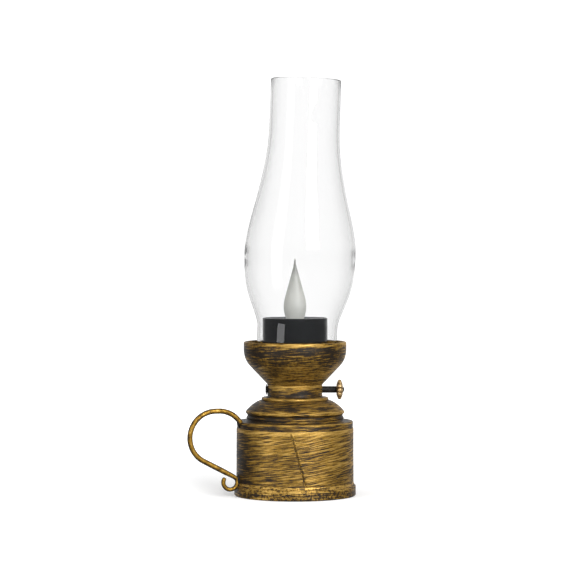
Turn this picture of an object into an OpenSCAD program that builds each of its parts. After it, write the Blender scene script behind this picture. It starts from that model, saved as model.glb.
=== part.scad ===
// Decorative oil lamp with a battery candle: a painted sheet-iron base, a side knob,
// a loose glass chimney and an LED tealight standing in the gallery cup.
// Millimetres. The origin is the centre of the underside, +Z is up, the knob points along +X.

/* [Base] */
// Outer radius of the drum
drum_r = 33.5; // [30:0.1:42]
// Height of the drum's top edge
drum_h = 38.6; // [34:0.1:48]
// Thickness of the sheet iron
sheet = 0.8; // [0.6:0.05:1]
// How far the rolled foot bead stands out from the drum
foot_out = 1.3; // [0.8:0.1:2]
// Height of the rolled foot bead
foot_h = 6.4; // [5:0.1:8]

/* [Shoulder] */
// How far the cover's skirt is set in from the drum wall
skirt_in = 0.4; // [0.2:0.05:0.6]
// Height of the cover's skirt above the drum's top edge
skirt_h = 3.9; // [3:0.1:6]
// Radius of the dome's rolled edge
dome_r = 28.2; // [26:0.1:29]
// Height of the dome's flat crown above the top of the skirt
dome_h = 11.8; // [10:0.1:15]
// Radius of the dome's flat crown
crown_r = 19.4; // [18:0.1:21]

/* [Neck and cup] */
// Outer radius of the neck
neck_r = 15.6; // [14.5:0.1:17]
// Height of the neck between the crown and the cup
neck_h = 8.9; // [8.4:0.1:11]
// Radius of the bead round the foot of the neck
bead_r = 19.1; // [18:0.1:20.5]
// Distance from the outside of the chimney's foot to the outside of the gallery cup
rim_room = 6.45; // [5.2:0.05:11]
// Height of the gallery cup above the neck
cup_h = 24.5; // [21:0.1:30]
// Wall of the cup
cup_wall = 1.2; // [0.8:0.1:1.4]
// Thickness of the cup's folded rim
hem = 1.7; // [1.4:0.1:2.2]
// How far the candle plate's top lies below the rim
plate_drop = 2.5; // [1.5:0.1:3.4]

/* [Handle] */
// Angle by which the handle is turned from the line opposite the knob
handle_turn = 18; // [0:1:45]
// Diameter of the handle's round rod
rod_d = 3.1; // [2.5:0.1:4]
// Diameter of the rod in the tail hook
tail_d = 2.5; // [2:0.1:3]
// Radius of the finger loop, at the middle of the rod
loop_r = 14.9; // [12:0.1:18]
// Radius of the tail hook, at the middle of the rod
tail_r = 4.1; // [3.5:0.1:5]
// Height of the middle of the tail hook
tail_z = 8.5; // [7.5:0.1:10]
// Slope of the handle's lower straight, in degrees
straight_slope = 27.6; // [20:0.1:35]
// Length of the handle's lower straight
straight_len = 21.4; // [16:0.1:28]

/* [Knob] */
// Diameter of the wick shaft
shaft_d = 3.8; // [3:0.1:4.6]
// Height of the shaft above the crown
shaft_z = 6; // [5:0.1:6.4]
// Distance from the lamp's axis to the knob wheel's inner face
wheel_x = 23.6; // [21:0.1:30]
// Radius of the knob wheel
wheel_r = 5.7; // [4.5:0.1:7]
// Thickness of the knob wheel at its hub
wheel_t = 3.6; // [3:0.1:5]
// Number of lobes on the knob wheel
lobes = 12; // [8:1:16]

/* [Chimney] */
// Height of the chimney
glass_h = 151.8; // [130:0.1:190]
// Gap between the tealight and the inside of the chimney's foot
light_gap = 2.9; // [2.4:0.1:3.4]
// Outer radius of the bulb
bulb_r = 31.8; // [28:0.1:36]
// Height of the bulb's widest place above the chimney's foot
bulb_z = 52.5; // [46:0.1:60]
// Outer radius of the chimney's straight top
top_r = 20.1; // [18:0.1:23]
// Wall of the glass
glass_wall = 1.5; // [1:0.1:2]
// Lean of the chimney towards the knob side, from its foot ground out of square
glass_lean = 2; // [0:0.1:3]
// Offset of the chimney's foot on the candle plate
glass_x = 1; // [0:0.1:1.5]

/* [Tealight] */
// Radius of the tealight
light_r = 18.5; // [17.5:0.1:22.4]
// Height of the tealight's case
light_h = 16.3; // [15.6:0.1:20]
// Wall of the tealight's case
light_wall = 1.2; // [1:0.1:1.4]
// Height of the flame above the case's rim
flame_h = 33.5; // [28:0.1:40]
// Greatest radius of the flame
flame_r = 6.5; // [5.5:0.1:7.5]
// Radius of the flame's foot, where it passes through the dish
flame_foot_r = 4.9; // [4:0.1:5.2]
// Wall of the flame
flame_wall = 0.9; // [0.7:0.05:1.2]
// Depth of the dish below the case's rim
dish_depth = 1.5; // [1:0.1:2]
// Thickness of the tealight's bottom cover
cover_t = 1.2; // [1:0.1:1.4]
// Height of the bottom cover above the case's lower edge
cover_up = 1; // [0.8:0.1:1.2]

/* [Battery and switch] */
// Radius of the coin cell
cell_r = 10; // [8:0.1:10.2]
// Thickness of the coin cell
cell_t = 3.2; // [2.5:0.1:3.4]
// Distance from the tealight's axis to the battery door's axis, towards the back
door_off = 3.5; // [3.3:0.1:3.8]
// Twist that frees the battery door
door_turn = 35; // [30:1:45]
// Travel of the switch slider
switch_travel = 2.5; // [2:0.1:3]

/* [Fits] */
// Radial clearance of the wick shaft in the neck
shaft_fit = 0.05; // [0.02:0.01:0.1]
// Gap between the battery door and its opening
door_fit = 0.15; // [0.1:0.05:0.2]
// Gap round the switch slider's lever
slider_fit = 0.25; // [0.2:0.05:0.4]
// Gap between pieces of one body that are only laid into each other
laid_fit = 0.1; // [0.05:0.01:0.2]

/* [Hidden] */
$fn = 96;

brass_paint = [0.56, 0.41, 0.2];
black_paint = [0.1, 0.09, 0.09];
black_plastic = [0.06, 0.065, 0.07];
milky = [0.82, 0.83, 0.8];
zinc = [0.72, 0.72, 0.7];
eps = 0.01;
over = 1;

// Base and shoulder
foot_r = drum_r + foot_out;
skirt_r = drum_r - skirt_in;
spigot_r = drum_r - sheet;
spigot_h = 4;
skirt_z = drum_h + skirt_h;
crown_z = skirt_z + dome_h;
seam_top_x = -2.4;
seam_foot_x = 5.7;
seam_w = 0.6;
seam_depth = 0.35;
seam_ridge = 0.25;

// Neck and cup
tube_r = neck_r - sheet;
tube_bore_r = tube_r - sheet;
cup_z = crown_z + neck_h;
glass_foot_r = light_r + light_gap + glass_wall;
cup_r = glass_foot_r + rim_room;
rim_z = cup_z + cup_h;
plate_z = rim_z - plate_drop;
cone_rise = 9.5;
cone_r = neck_r + 0.95 * cone_rise;
floor_z = crown_z + sheet;
shaft_r = shaft_d / 2;
shaft_at = crown_z + shaft_z;
clip_r = 3;

// Stem screw, M4
screw_r = 2;
screw_hole_r = 2.15;
screw_head_r = 3.9;
screw_head_h = 2.2;
screw_len = 7;
stem_washer_r = 6;
stem_washer_t = 0.8;
nut_flats = 7;
nut_t = 3.2;

// Tealight
light_z = plate_z;
light_top = light_z + light_h;
light_bore_r = light_r - light_wall;
cover_z = light_z + cover_up;
cover_top = cover_z + cover_t;
dish_t = 1;
dish_z = light_top - dish_depth;
dish_under = dish_z - dish_t;
flame_tip_z = light_top + flame_h;
led_r = 1.5;
led_flange_r = 1.9;
led_flange_t = 0.8;
led_len = 4.4;
led_z = dish_under + 0.2;
lead_r = 0.25;
lead_x = 1.27;
strip_t = 0.3;
tab_z = led_z - 2.6;

// Battery and its door
door_lug_r = cell_r + 2.2;
door_r = cell_r + 1;
door_open_r = door_r + door_fit;
well_r = door_lug_r + 0.3;
lug_half = 12;
notch_half = 15;
cell_z = cover_top + 1;
strip_y = 1.5;
well_wall = 0.8;
well_h = 5;
coin_slot_w = 1.8;
coin_slot_len = 14;
coin_slot_depth = 0.6;

// Switch
lever_x = 2;
lever_y = 1.8;
house_x = 8.6;
house_y = 3.4;
house_h = 3.6;
carriage_x = 4;
carriage_y = 2;
carriage_h = 1.1;
switch_y = well_r + well_wall - door_off + house_y / 2 + 0.3;

// Points of a cubic curve that leaves p0 towards p1 and reaches p3 from p2
function bend(p0, p1, p2, p3, steps) = [for (i = [0:steps]) let (t = i / steps, s = 1 - t)
    s * s * s * p0 + 3 * s * s * t * p1 + 3 * s * t * t * p2 + t * t * t * p3];
function round_pts(c, r, from, to, steps) = [for (i = [0:steps])
    let (a = from + (to - from) * i / steps) c + r * [cos(a), sin(a)]];
function flip(pts) = [for (i = [len(pts) - 1:-1:0]) pts[i]];
// Unit normal to the left of a path at point i
function left_of(pts, i) = let (a = pts[max(i - 1, 0)], b = pts[min(i + 1, len(pts) - 1)],
    d = b - a) [-d[1], d[0]] / norm(d);
function inset(pts, gap) = [for (i = [0:len(pts) - 1]) pts[i] + gap * left_of(pts, i)];

// A round bar from a to b, in the plane of the handle
module bar(a, b, r1, r2) {
    d = b - a;
    translate([a[0], 0, a[1]]) rotate([0, atan2(d[0], d[1]), 0])
        cylinder(h = norm(d), r1 = r1, r2 = r2, $fn = 48);
}
// Lengths of the handle's rod. Each stops short of its ends, where a joint covers the gap
joint_gap = 0.12;
module rod_length(a, b, r1, r2) {
    along = joint_gap * (b - a) / norm(b - a);
    bar(a + along, b - along, r1, r2);
}
module rod_bend(c, bend_r, rod_r, a0, a1) {
    gap_a = joint_gap / bend_r * 180 / PI;
    translate([c[0], 0, c[1]]) rotate([90, 0, 0]) rotate([0, 0, a0 + gap_a])
        rotate_extrude(angle = a1 - a0 - 2 * gap_a) translate([bend_r, 0])
            circle(r = rod_r, $fn = 32);
}
module joint(p, r) {
    translate([p[0], 0, p[1]]) sphere(r = 1.04 * r, $fn = 48);
}
module ring(r_out, r_in, z0, z1) {
    translate([0, 0, z0]) difference() {
        cylinder(h = z1 - z0, r = r_out);
        translate([0, 0, -over]) cylinder(h = z1 - z0 + 2 * over, r = r_in);
    }
}
// A pie slice from radius r0 to r1, half degrees to each side of the direction at
module slice(r0, r1, half, at, z0, z1) {
    reach = r1 / cos(half) + over;
    rotate([0, 0, at]) intersection() {
        ring(r1, r0, z0, z1);
        translate([0, 0, z0]) linear_extrude(height = z1 - z0)
            polygon([[0, 0], reach * [cos(half), -sin(half)], reach * [cos(half), sin(half)]]);
    }
}

// ---- Base ----
module base_plate() color(black_paint) cylinder(h = sheet, r = drum_r - sheet);

module foot_outline() {
    corner = 0.8;
    polygon(concat([[drum_r, 0]],
        round_pts([foot_r - corner, corner], corner, -90, 0, 6),
        round_pts([foot_r - corner, foot_h - 1.4 * corner], corner, 0, 60, 5),
        [[drum_r + 0.35 * foot_out, foot_h], [drum_r, foot_h + 1.6]]));
}
module foot_ring() color(brass_paint) rotate_extrude() foot_outline();

// The slanted line of the drum's seam as a thin slab, shifted sideways and w wide
module seam_slab(shift, w) {
    foot_z = foot_h + 0.6;
    top_z = drum_h - 1;
    run = seam_foot_x - seam_top_x;
    tilt = atan2(run, top_z - foot_z);
    translate([seam_foot_x + shift, -drum_r - over, foot_z]) rotate([0, -tilt, 0])
        translate([-w / 2, 0, 0]) cube([w, drum_r, norm([run, top_z - foot_z])]);
}
module drum_shell() color(brass_paint) {
    corner = 0.4;
    difference() {
        union() {
            rotate_extrude() polygon(concat([[drum_r - sheet, 0], [drum_r, 0]],
                round_pts([drum_r - corner, drum_h - corner], corner, 0, 90, 5),
                [[drum_r - sheet, drum_h]]));
            intersection() {
                seam_slab(seam_w, seam_w);
                ring(drum_r + seam_ridge, drum_r - sheet / 2, foot_h + 1.7, drum_h - 1);
            }
        }
        intersection() {
            seam_slab(0, seam_w);
            ring(drum_r + over, drum_r - seam_depth, 0, drum_h);
        }
    }
}

// The cover's outer line, from the foot of its skirt to the middle of its crown
function cover_line() = concat(
    [[skirt_r, drum_h]],
    round_pts([skirt_r - 0.6, skirt_z - 0.6], 0.6, 0, 90, 5),
    [[dome_r + 0.3, skirt_z], [dome_r - 0.8, skirt_z + 0.6]],
    round_pts([dome_r - 1.3, skirt_z + 1.9], 0.9, -60, 60, 6),
    [[dome_r - 1.1, skirt_z + 3.3]],
    round_pts([dome_r - 1.1, skirt_z + 5.1], 1.1, -60, 50, 6),
    bend([dome_r - 1.3, skirt_z + 7], [dome_r - 4, skirt_z + 9.6],
        [crown_r + 2.4, crown_z - 0.4], [crown_r, crown_z], 8),
    [[screw_hole_r, crown_z]]);
// Its inner line: a plain stepped shell under the rolled beads
function cover_inside() = [
    [screw_hole_r, crown_z - sheet], [crown_r - 0.6, crown_z - sheet],
    [dome_r - 4.6, skirt_z + 6.9], [dome_r - 2.9, skirt_z + 5.2],
    [dome_r - 2.9, skirt_z - sheet], [spigot_r - sheet, skirt_z - sheet],
    [spigot_r - sheet, drum_h - spigot_h], [spigot_r, drum_h - spigot_h],
    [spigot_r, drum_h]];
module cover_outline() polygon(concat(cover_line(), cover_inside()));
module shoulder_cover() color(brass_paint) rotate_extrude() cover_outline();

// ---- Neck and cup ----
// Cylinder along the wick shaft's axis, from x0 to x1
module across(x0, x1, r) {
    translate([x0, 0, shaft_at]) rotate([0, 90, 0]) cylinder(h = x1 - x0, r = r);
}
module neck_collar() color(brass_paint) difference() {
    // The flare ends just under the washer on the shaft
    flare = shaft_z - clip_r - 0.1;
    rotate_extrude() polygon(concat(
        [[tube_r, crown_z], [bead_r - 1, crown_z]],
        round_pts([bead_r - 0.8, crown_z + 0.9], 0.8, -60, 90, 7),
        bend([bead_r - 1, crown_z + 1.7], [neck_r + 1.2, crown_z + 1.7],
            [neck_r, crown_z + 1.7], [neck_r, crown_z + flare], 6),
        [[neck_r, cup_z], [tube_r, cup_z]]));
    across(-neck_r - over, neck_r + over, shaft_r + shaft_fit);
}

function cup_line() = concat([[neck_r, cup_z]],
    bend([cone_r, cup_z + cone_rise], [cone_r + 2.9, cup_z + cone_rise + 3],
        [cup_r - 0.3, cup_z + cone_rise + 5.2], [cup_r, rim_z - 4.6], 12));
function cup_inside() = inset(cup_line(), cup_wall);
module gallery_cup() color(brass_paint) difference() {
    lip = hem / 2;
    rotate_extrude() polygon(concat(
        [[screw_hole_r, crown_z], [tube_r, crown_z], [tube_r, cup_z]],
        cup_line(),
        round_pts([cup_r - lip, rim_z - lip], lip, 0, 180, 10),
        [[cup_r - hem, rim_z - 2.2]],
        flip(cup_inside()),
        [[tube_bore_r, cup_z], [tube_bore_r, floor_z], [screw_hole_r, floor_z]]));
    across(-neck_r - over, neck_r + over, shaft_r + shaft_fit);
}

// The plate stands on the cup's wall by the lower edge of its skirt
seat = cup_inside()[9];
module candle_plate() color(brass_paint) difference() {
    translate([0, 0, seat[1]]) cylinder(h = plate_z - seat[1], r = seat[0] - laid_fit);
    translate([0, 0, seat[1] - over])
        cylinder(h = plate_z - seat[1] + over - sheet, r = seat[0] - laid_fit - sheet);
}

module stem_screw() color(zinc) difference() {
    union() {
        translate([0, 0, floor_z]) cylinder(h = screw_head_h, r = screw_head_r);
        translate([0, 0, floor_z - screw_len]) cylinder(h = screw_len + eps, r = screw_r);
    }
    for (a = [0, 90]) rotate([0, 0, a])
        translate([-2.2, -0.45, floor_z + screw_head_h - 1.3]) cube([4.4, 0.9, 1.3 + over]);
}
washer_z = crown_z - sheet - stem_washer_t;
module stem_washer() color(zinc) ring(stem_washer_r, screw_hole_r, washer_z, crown_z - sheet);
module stem_nut() color(zinc) translate([0, 0, washer_z - nut_t]) difference() {
    cylinder(h = nut_t, r = nut_flats / sqrt(3), $fn = 6);
    translate([0, 0, -over]) cylinder(h = nut_t + 2 * over, r = screw_r);
}

// ---- Handle ----
rod_r = rod_d / 2;
tail_rod_r = tail_d / 2;
tail_bite = 0.3;
tail_c = [drum_r + tail_rod_r + tail_r - tail_bite, tail_z];
meet_a = 143;
meet = tail_c + tail_r * [cos(meet_a), sin(meet_a)];
slope_dir = [cos(straight_slope), sin(straight_slope)];
loop_foot = meet + straight_len * slope_dir;
loop_c = loop_foot + loop_r * [-sin(straight_slope), cos(straight_slope)];
loop_flat = 2.2;
loop_c2 = loop_c - [loop_flat, 0];
end_z = skirt_z - 0.3;
end_a = 180 - asin((end_z - loop_c2[1]) / loop_r);
tip_a = 384;
taper_len = 8;
module handle_rod() {
    taper_at = meet + taper_len * slope_dir;
    end_at = loop_c2 + loop_r * [cos(end_a), sin(end_a)];
    tip_at = tail_c + tail_r * [cos(tip_a), sin(tip_a)];
    rod_bend(tail_c, tail_r, tail_rod_r, meet_a, tip_a);
    rod_length(meet, taper_at, tail_rod_r, rod_r);
    rod_length(taper_at, loop_foot, rod_r, rod_r);
    rod_bend(loop_c, loop_r, rod_r, straight_slope - 90, 90);
    rod_length(loop_c + [0, loop_r], loop_c2 + [0, loop_r], rod_r, rod_r);
    rod_bend(loop_c2, loop_r, rod_r, 90, end_a);
    for (p = [tip_at, meet]) joint(p, tail_rod_r);
    for (p = [taper_at, loop_foot, loop_c + [0, loop_r], loop_c2 + [0, loop_r], end_at])
        joint(p, rod_r);
}
// Weld metal where the rod meets the drum
weld_at = drum_r + 0.2;
module handle_welds() {
    bar([weld_at, tail_z - tail_r], [weld_at, tail_z + 2.4], 1.1, 1.6);
    bar([weld_at, tail_z + 2.4 - eps], [weld_at, tail_z + 4.4], 1.6, 0.5);
    bar([skirt_r + 0.3, skirt_z - 3.2], [skirt_r + 0.3, skirt_z - 0.6], 0.4, 1.4);
}
// What the handle butts against, with a little room over the foot bead
foot_gap = 0.05;
module drum_space() {
    rotate_extrude() polygon([[0, 0], [foot_r + foot_gap, 0], [foot_r + foot_gap, foot_h + 0.4],
        [drum_r, foot_h + 1.7], [drum_r, drum_h], [skirt_r, drum_h], [skirt_r, skirt_z],
        [0, skirt_z]]);
}
module turned() rotate([0, 0, 180 + handle_turn]) children();
module handle() color(brass_paint) {
    difference() {
        turned() handle_rod();
        drum_space();
    }
    difference() {
        turned() handle_welds();
        drum_space();
    }
}

// ---- Knob ----
clip_t = 0.7;
washer_gap = 0.15;
end_washer_x = -neck_r - washer_gap - clip_t;
clip_x = -sqrt(tube_bore_r * tube_bore_r - clip_r * clip_r) + washer_gap;
peen_t = 0.4;
dome_t = 0.9;
module wick_shaft() color(black_paint) {
    across(end_washer_x - peen_t, wheel_x + wheel_t + eps, shaft_r);
    // Peened end outside the wheel
    dome_ball_r = (shaft_r * shaft_r + dome_t * dome_t) / (2 * dome_t);
    intersection() {
        translate([wheel_x + wheel_t + dome_t - dome_ball_r, 0, shaft_at])
            rotate([0, 90, 0]) sphere(r = dome_ball_r);
        across(wheel_x + wheel_t, wheel_x + wheel_t + 2 * dome_t, shaft_r);
    }
}
module knob_wheel() color(brass_paint) {
    rim_t = wheel_t * 0.62;
    edge_in = (wheel_t - rim_t) / 2;
    translate([wheel_x, 0, shaft_at]) rotate([0, 90, 0]) difference() {
        rotate_extrude() polygon([[shaft_r, 0], [shaft_r + 0.8, 0],
            [wheel_r - 0.5, edge_in - 0.1], [wheel_r, edge_in + 0.4],
            [wheel_r, wheel_t - edge_in - 0.4], [wheel_r - 0.5, wheel_t - edge_in + 0.1],
            [shaft_r + 0.8, wheel_t], [shaft_r, wheel_t]]);
        for (i = [0:lobes - 1]) rotate([0, 0, (i + 0.5) * 360 / lobes])
            translate([wheel_r + 0.25, 0, -over])
            cylinder(h = wheel_t + 2 * over, r = 0.8, $fn = 24);
    }
}
module end_washer() color(black_paint) difference() {
    across(end_washer_x, end_washer_x + clip_t, clip_r);
    across(end_washer_x - over, end_washer_x + clip_t + over, shaft_r);
}
module shaft_clip() color(zinc) difference() {
    across(clip_x, clip_x + clip_t, clip_r);
    across(clip_x - over, clip_x + clip_t + over, shaft_r);
}

// ---- Chimney ----
glass_straight = 11;
function glass_line() = let (
    foot = [glass_foot_r, glass_straight],
    widest = [bulb_r, bulb_z],
    top = [top_r, bulb_z + 76]) concat(
    [[glass_foot_r, -over * 3]],
    bend(foot, foot + [0.4, 6], [bulb_r - 3.2, 25], [bulb_r - 1.2, 36], 10),
    bend([bulb_r - 1.2, 36], [bulb_r - 0.5, 41], widest - [0, 6], widest, 6),
    bend(widest, widest + [0, 13], [top_r + 5.6, bulb_z + 28], [top_r + 1.8, bulb_z + 51], 14),
    bend([top_r + 1.8, bulb_z + 51], [top_r + 0.8, bulb_z + 57], top - [0, 12], top, 8),
    [[top_r, glass_h - 0.6]]);
module glass_chimney() color([0.93, 0.96, 0.96, 0.3]) {
    inner = flip(inset(glass_line(), glass_wall));
    lip = glass_wall / 2;
    difference() {
        translate([glass_x, 0, plate_z]) rotate([0, glass_lean, 0]) rotate_extrude()
            polygon(concat(glass_line(),
                round_pts([top_r - lip, glass_h - lip], lip, 0, 180, 8), inner));
        translate([0, 0, plate_z - 10]) cylinder(h = 10, r = 2 * glass_foot_r);
    }
}

// ---- Tealight ----
module tealight_case() color(black_plastic) {
    corner = 0.6;
    rotate_extrude() polygon(concat(
        [[light_bore_r, light_z], [light_r - 0.3, light_z], [light_r, light_z + 0.3]],
        round_pts([light_r - corner, light_top - corner], corner, 0, 90, 5),
        [[light_bore_r, light_top - 0.1]]));
}
// A shallow dish that closes the top, with a boss that holds the flame's foot
module tealight_dish() color(black_plastic) {
    edge_r = light_bore_r;
    rotate_extrude() polygon(concat(
        [[flame_foot_r + laid_fit, dish_under], [edge_r, dish_under], [edge_r, light_top - 0.3]],
        bend([edge_r - 1.2, light_top - 0.3], [edge_r - 3, light_top - 0.9],
            [edge_r - 6, dish_z], [edge_r - 9, dish_z], 8),
        [[flame_foot_r + laid_fit, dish_z]]));
}
// Outer line of the flame, from its foot to its tip
function flame_line() = let (foot = [flame_foot_r, dish_z], tip = [0.35, flame_tip_z],
    wide = [flame_r, light_top + 6.3]) concat(
    bend(foot, [flame_foot_r + 0.4, dish_z + 2], [flame_r, wide[1] - 3.4], wide, 8),
    bend(wide, [flame_r, wide[1] + 5.6], [2.6, flame_tip_z - 14], tip, 14));
module flame_lens() color(milky) {
    line = flame_line();
    wall = [for (i = [0:len(line) - 4]) line[i] + flame_wall * left_of(line, i)];
    flange_r = flame_foot_r + 1.3;
    rotate_extrude() polygon(concat(
        [[led_r + laid_fit, dish_under - 1], [flange_r, dish_under - 1], [flange_r, dish_under],
        [flame_foot_r, dish_under]],
        line, [[0, flame_tip_z], [0, flame_tip_z - 4]], flip(wall),
        [[led_r + laid_fit, dish_z]]));
}
module led() color([0.9, 0.85, 0.7]) {
    translate([0, 0, led_z]) {
        cylinder(h = led_len - led_r, r = led_r, $fn = 48);
        translate([0, 0, led_len - led_r]) sphere(r = led_r, $fn = 48);
    }
    under = dish_under - 1 - led_flange_t;
    translate([0, 0, under]) cylinder(h = led_flange_t, r = led_flange_r, $fn = 48);
    translate([0, 0, under]) cylinder(h = led_z - under + eps, r = led_r, $fn = 48);
    for (s = [-1, 1]) translate([s * lead_x, 0, tab_z])
        cylinder(h = under - tab_z + eps, r = lead_r, $fn = 24);
}

module at_door() translate([0, -door_off, 0]) children();
module bottom_cover() color(black_plastic) {
    difference() {
        union() {
            translate([0, 0, cover_z]) cylinder(h = cover_t, r = light_bore_r);
            at_door() ring(well_r + well_wall, well_r, cover_top - eps, cover_top + well_h);
        }
        at_door() {
            translate([0, 0, cover_z - over]) cylinder(h = cover_t + 2 * over, r = door_open_r);
            for (a = [0, 180])
                slice(cell_r, door_lug_r + door_fit, notch_half, a + door_turn,
                    cover_z - over, cover_top + over);
        }
        translate([-(lever_x + switch_travel) / 2 - slider_fit,
            switch_y - lever_y / 2 - slider_fit, cover_z - over])
            cube([lever_x + switch_travel + 2 * slider_fit, lever_y + 2 * slider_fit,
                cover_t + 2 * over]);
    }
}
// Twist door with two lugs over the cover and a slot for a coin
module battery_door() color(black_plastic) at_door() difference() {
    lug_z = cover_top + laid_fit;
    lug_t = 0.7;
    union() {
        translate([0, 0, cover_z]) cylinder(h = cover_t, r = door_r);
        translate([0, 0, cover_top - eps])
            cylinder(h = lug_z + lug_t - cover_top, r = cell_r + 0.2);
        for (a = [0, 180]) slice(cell_r - 1, door_lug_r, lug_half, a, lug_z, lug_z + lug_t);
    }
    translate([-coin_slot_len / 2, -coin_slot_w / 2, cover_z - over])
        cube([coin_slot_len, coin_slot_w, coin_slot_depth + over]);
}
module coin_cell() color(zinc) at_door() {
    step_r = cell_r - 0.9;
    step_t = 0.5;
    translate([0, 0, cell_z]) cylinder(h = cell_t - step_t, r = cell_r);
    translate([0, 0, cell_z + cell_t - step_t - eps]) cylinder(h = step_t + eps, r = step_r);
}
// Spring strip on the side of the cell, bent over at the top to reach one lead
module contact_positive() color(zinc) {
    top = tab_z - strip_t;
    translate([cell_r, -door_off - strip_y, cell_z])
        cube([strip_t, 2 * strip_y, top - cell_z + eps]);
    translate([lead_x - 0.5, -door_off, top])
        cube([cell_r + strip_t - lead_x + 0.5, door_off + 0.5, strip_t]);
    translate([cell_r - 2, -door_off - strip_y, top]) cube([2 + strip_t, 2 * strip_y, strip_t]);
}
// Strip on the cell's upper face, with a leg up to the other lead
module contact_negative() color(zinc) {
    low = cell_z + cell_t;
    leg_w = 1.2;
    translate([-lead_x - leg_w / 2 - 1, -door_off - 5, low]) cube([4, door_off + 5.5, strip_t]);
    translate([-lead_x - leg_w / 2, 0.5 - strip_t, low]) cube([leg_w, strip_t, tab_z - low]);
    translate([-lead_x - leg_w / 2, -0.5, tab_z - strip_t]) cube([leg_w, 1, strip_t]);
}

module switch_housing() color(black_plastic) translate([0, switch_y, cover_top])
    difference() {
        translate([-house_x / 2, -house_y / 2, 0]) cube([house_x, house_y, house_h]);
        translate([-(carriage_x + switch_travel) / 2 - slider_fit, -carriage_y / 2 - slider_fit,
            -over])
            cube([carriage_x + switch_travel + 2 * slider_fit, carriage_y + 2 * slider_fit,
                carriage_h + 2 * slider_fit + over]);
    }
module switch_slider() color([0.75, 0.75, 0.73])
    translate([-switch_travel / 2, switch_y, 0]) {
        lever_foot = light_z + 0.4;
        translate([-lever_x / 2, -lever_y / 2, lever_foot])
            cube([lever_x, lever_y, cover_top + slider_fit - lever_foot + eps]);
        translate([-carriage_x / 2, -carriage_y / 2, cover_top + slider_fit])
            cube([carriage_x, carriage_y, carriage_h]);
    }

base_plate();
foot_ring();
drum_shell();
shoulder_cover();
neck_collar();
gallery_cup();
candle_plate();
stem_screw();
stem_washer();
stem_nut();
handle();
wick_shaft();
knob_wheel();
end_washer();
shaft_clip();
glass_chimney();
tealight_case();
tealight_dish();
bottom_cover();
flame_lens();
led();
coin_cell();
contact_positive();
contact_negative();
switch_housing();
switch_slider();
battery_door();
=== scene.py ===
import math

import bmesh
import bpy
from mathutils import Matrix, Vector, noise


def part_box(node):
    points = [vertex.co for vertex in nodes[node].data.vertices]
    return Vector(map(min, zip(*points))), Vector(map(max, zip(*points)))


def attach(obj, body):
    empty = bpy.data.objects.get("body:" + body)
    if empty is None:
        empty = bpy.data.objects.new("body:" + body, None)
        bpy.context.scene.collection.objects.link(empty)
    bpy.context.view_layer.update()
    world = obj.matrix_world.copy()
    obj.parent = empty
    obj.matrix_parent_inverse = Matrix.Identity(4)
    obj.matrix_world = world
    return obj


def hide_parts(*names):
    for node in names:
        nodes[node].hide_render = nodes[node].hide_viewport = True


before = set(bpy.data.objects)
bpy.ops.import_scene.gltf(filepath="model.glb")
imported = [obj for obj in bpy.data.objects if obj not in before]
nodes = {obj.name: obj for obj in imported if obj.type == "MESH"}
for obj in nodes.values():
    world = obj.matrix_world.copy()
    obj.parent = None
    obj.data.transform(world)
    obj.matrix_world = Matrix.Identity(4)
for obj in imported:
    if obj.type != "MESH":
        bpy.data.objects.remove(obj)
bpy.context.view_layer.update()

MM = 0.001
TINY = 1e-7  # A length in metres below which it counts as nothing

# ---- Places and sizes from the frame ----


def top_of(node):
    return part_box(node)[1].z


def foot_of(node):
    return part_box(node)[0].z


def radius_of(node):
    """Radius of a round node whose axis is the lamp's."""
    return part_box(node)[1].y


DRUM_R = radius_of("drum_shell")
DRUM_TOP = top_of("drum_shell")
PLATE_TOP = top_of("candle_plate")
SHAFT_Z = (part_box("wick_shaft")[0].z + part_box("wick_shaft")[1].z) / 2

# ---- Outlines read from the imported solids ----

RING_VERTICES = 40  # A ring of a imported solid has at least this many
DIGITS = 5  # Decimals of a metre to which two vertices of a ring agree
CORNER = math.radians(34)
WEAR_AND_SHADING_REACH = 1.5 * MM


def turned_outline(node):
    """Closed outline, as (radius, height) points, of a node turned round +Z.

    A ring of the solid is a radius and height that many vertices share, and two rings are neighbours
    where the mesh joins them.
    """
    mesh = nodes[node].data
    keys = [(round(math.hypot(v.co.x, v.co.y), DIGITS), round(v.co.z, DIGITS)) for v in mesh.vertices]
    count = {}
    for key in keys:
        count[key] = count.get(key, 0) + 1
    near = {}
    for edge in mesh.edges:
        a, b = (keys[i] for i in edge.vertices)
        on_axis = min(a[0], b[0]) == 0
        if a != b and (on_axis or min(count[a], count[b]) >= RING_VERTICES):
            near.setdefault(a, set()).add(b)
            near.setdefault(b, set()).add(a)
    ends = sorted(k for k in near if len(near[k]) == 1)
    start = max(ends) if ends else max(near, key=lambda k: (k[0], -k[1]))
    path = [start]
    came = None
    while True:
        onward = sorted(k for k in near[path[-1]] if k != came and k not in path)
        if not onward:
            break
        came = path[-1]
        path.append(onward[0])
    return path


def turn_at(path, i):
    """Signed turn of the closed outline at point i, in radians: positive to the left."""
    before, here, after = (Vector(path[(i + k) % len(path)]) for k in (-1, 0, 1))
    into, out = here - before, after - here
    if min(into.length, out.length) < TINY:
        return 0.0
    return math.atan2(into.x * out.y - into.y * out.x, into.dot(out))


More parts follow.
